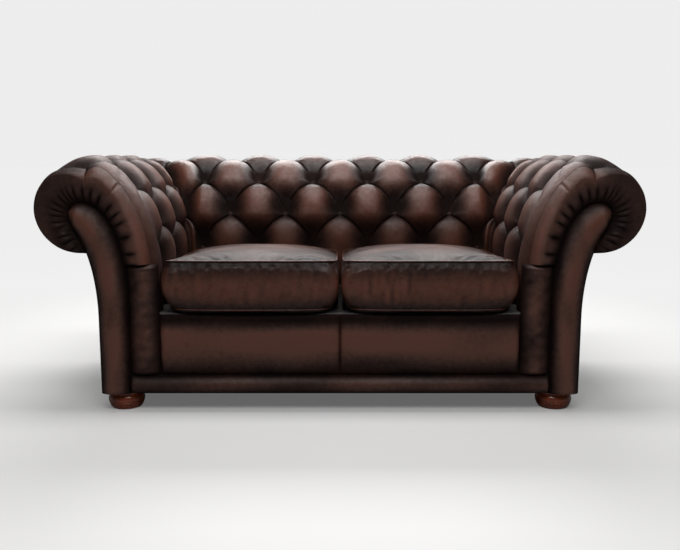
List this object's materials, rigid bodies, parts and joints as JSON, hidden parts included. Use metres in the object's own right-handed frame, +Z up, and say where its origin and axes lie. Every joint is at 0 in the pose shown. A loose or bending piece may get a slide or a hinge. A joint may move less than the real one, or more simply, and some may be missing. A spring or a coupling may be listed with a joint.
{
  "type": "two-seater sofa",
  "caption": "Deep-buttoned scroll-arm sofa with rolled arms and back, padded facings, loose box seat cushions and low turned bun feet.",
  "frame": {"origin": "on the floor, under the middle of the overall box", "axes": "+X to the right of someone facing the sofa, +Y towards its back, +Z up"},
  "size_m": [1.785, 0.94, 0.7578],
  "materials": {
    "antique_leather": "antique brown hide, dark in the folds and rubbed reddish on the puffs, satin",
    "facing_leather": "antique brown hide, stretched flat and rubbed reddish along the middle, satin",
    "cushion_leather": "antique brown hide over foam, satin with soft creases",
    "mahogany": "polished reddish mahogany",
    "beech_frame": "sawn and planed, unfinished",
    "spring_wire": "drawn spring wire",
    "zinc_steel": "zinc plated",
    "platform_cloth": "dark woven platform cloth over felt",
    "dust_cloth": "black spun-bonded cloth"
  },
  "bodies": {
    "sofa_body": {"back_top_rail": "beech_frame", "back_tufted_pad": "antique_leather", "bottom_band": "facing_leather", "centre_back_post": "beech_frame", "centre_seat_rail": "beech_frame", "dust_cover": "dust_cloth", "front_border": "facing_leather", "front_rail": "beech_frame", "left_arm_facing": "facing_leather", "left_arm_front_border": "facing_leather", "left_arm_stuff_rail": "beech_frame", "left_arm_top_rail": "beech_frame", "left_arm_tufted_pad": "antique_leather", "left_back_post": "beech_frame", "left_back_stuff_rail": "beech_frame", "left_front_corner_block": "beech_frame", "left_front_foot": "mahogany", "left_front_foot_bolt": "zinc_steel", "left_front_post": "beech_frame", "left_outside_arm_panel": "antique_leather", "left_rear_corner_block": "beech_frame", "left_rear_foot": "mahogany", "left_rear_foot_bolt": "zinc_steel", "left_scroll_border": "facing_leather", "left_seat_spring_1": "spring_wire", "left_seat_spring_2": "spring_wire", "left_seat_spring_3": "spring_wire", "left_side_rail": "beech_frame", "outside_back_panel": "antique_leather", "rear_rail": "beech_frame", "rear_spring_rail": "beech_frame", "right_arm_facing": "facing_leather", "right_arm_front_border": "facing_leather", "right_arm_stuff_rail": "beech_frame", "right_arm_top_rail": "beech_frame", "right_arm_tufted_pad": "antique_leather", "right_back_post": "beech_frame", "right_back_stuff_rail": "beech_frame", "right_front_corner_block": "beech_frame", "right_front_foot": "mahogany", "right_front_foot_bolt": "zinc_steel", "right_front_post": "beech_frame", "right_outside_arm_panel": "antique_leather", "right_rear_corner_block": "beech_frame", "right_rear_foot": "mahogany", "right_rear_foot_bolt": "zinc_steel", "right_scroll_border": "facing_leather", "right_seat_spring_1": "spring_wire", "right_seat_spring_2": "spring_wire", "right_seat_spring_3": "spring_wire", "right_side_rail": "beech_frame", "seat_deck": "platform_cloth"},
    "left_cushion": {"left_seat_cushion": "cushion_leather"},
    "right_cushion": {"right_seat_cushion": "cushion_leather"}
  },
  "joints": [
    {"name": "left_cushion_lift", "type": "slide", "parent": "sofa_body", "child": "left_cushion", "axis": [0, 0, 1], "range_m": [0, 0.48]},
    {"name": "right_cushion_lift", "type": "slide", "parent": "sofa_body", "child": "right_cushion", "axis": [0, 0, 1], "range_m": [0, 0.48]}
  ]
}
